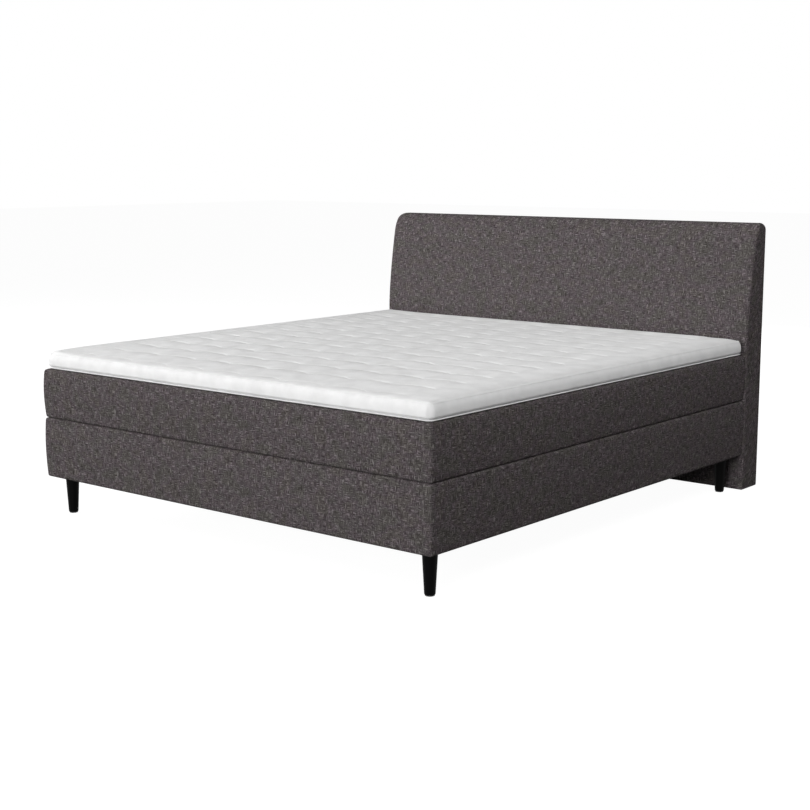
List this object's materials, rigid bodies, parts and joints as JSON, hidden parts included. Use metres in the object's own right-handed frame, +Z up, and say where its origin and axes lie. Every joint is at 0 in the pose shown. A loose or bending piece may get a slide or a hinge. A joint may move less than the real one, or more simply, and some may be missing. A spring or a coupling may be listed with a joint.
{
  "type": "box spring bed",
  "caption": "Upholstered double bed: spring base on tapered legs, loose spring mattress, quilted topper and a padded headboard that curves back.",
  "frame": {"origin": "on the floor, at the middle of the bed's outline, headboard included", "axes": "+Y from the foot of the bed to the headboard, +X to the right as seen from the foot, +Z up"},
  "size_m": [1.868, 2.1522, 1.076],
  "materials": {
    "upholstery": "matte",
    "ticking": "matte",
    "lining": "matte",
    "foam": "matte",
    "felt": "matte",
    "pockets": "matte",
    "pine": "matte",
    "chipboard": "matte",
    "black_lacquer": "satin",
    "black_steel": "satin",
    "black_plastic": "matte",
    "zinc_steel": "satin"
  },
  "bodies": {
    "base": {"base_side_rail_left": "pine", "base_side_rail_right": "pine", "base_foot_rail": "pine", "base_head_rail": "pine", "base_centre_beam": "pine", "base_slat_1": "pine", "base_slat_2": "pine", "base_slat_3": "pine", "base_slat_4": "pine", "base_slat_5": "pine", "base_slat_6": "pine", "base_corner_block_foot_left": "pine", "base_corner_block_foot_right": "pine", "base_corner_block_head_left": "pine", "base_corner_block_head_right": "pine", "base_foam_border": "foam", "base_spring_core": "pockets", "base_comfort_pad": "felt", "base_side_cover": "upholstery", "base_top_cloth": "lining", "base_dust_cover": "lining", "leg_foot_left": "black_lacquer", "leg_foot_right": "black_lacquer", "leg_head_left": "black_lacquer", "leg_head_right": "black_lacquer", "leg_glide_foot_left": "black_plastic", "leg_glide_foot_right": "black_plastic", "leg_glide_head_left": "black_plastic", "leg_glide_head_right": "black_plastic", "middle_leg_foot": "black_steel", "middle_leg_head": "black_steel", "headboard_gable_left": "chipboard", "headboard_gable_right": "chipboard", "headboard_gable_centre": "chipboard", "headboard_bottom_rail": "pine", "headboard_top_rail": "pine", "headboard_bolt_rail": "pine", "headboard_front_panel": "chipboard", "headboard_foam": "foam", "headboard_cover": "upholstery", "headboard_back_cloth": "lining", "headboard_glide_left": "black_plastic", "headboard_glide_right": "black_plastic", "headboard_bolt_left": "zinc_steel", "headboard_bolt_right": "zinc_steel"},
    "mattress": {"mattress_bottom_cover": "lining", "mattress_foam_border": "foam", "mattress_spring_core": "pockets", "mattress_comfort_foam": "foam", "mattress_side_cover": "upholstery", "mattress_top_cover": "ticking"},
    "topper": {"topper_bottom_cloth": "ticking", "topper_core": "foam", "topper_border": "ticking", "topper_quilted_top": "ticking"},
    "foot_screw": {"screw_foot_foot": "black_plastic"},
    "head_screw": {"screw_foot_head": "black_plastic"}
  },
  "joints": [
    {"name": "mattress_lift", "type": "slide", "parent": "base", "child": "mattress", "axis": [0, 0, 1], "range_m": [0, 0.4]},
    {"name": "topper_lift", "type": "slide", "parent": "mattress", "child": "topper", "axis": [0, 0, 1], "range_m": [0, 0.4]},
    {"name": "foot_screw_raise", "type": "slide", "parent": "base", "child": "foot_screw", "axis": [0, 0, 1], "range_m": [0, 0.012]},
    {"name": "head_screw_raise", "type": "slide", "parent": "base", "child": "head_screw", "axis": [0, 0, 1], "range_m": [0, 0.012]}
  ]
}
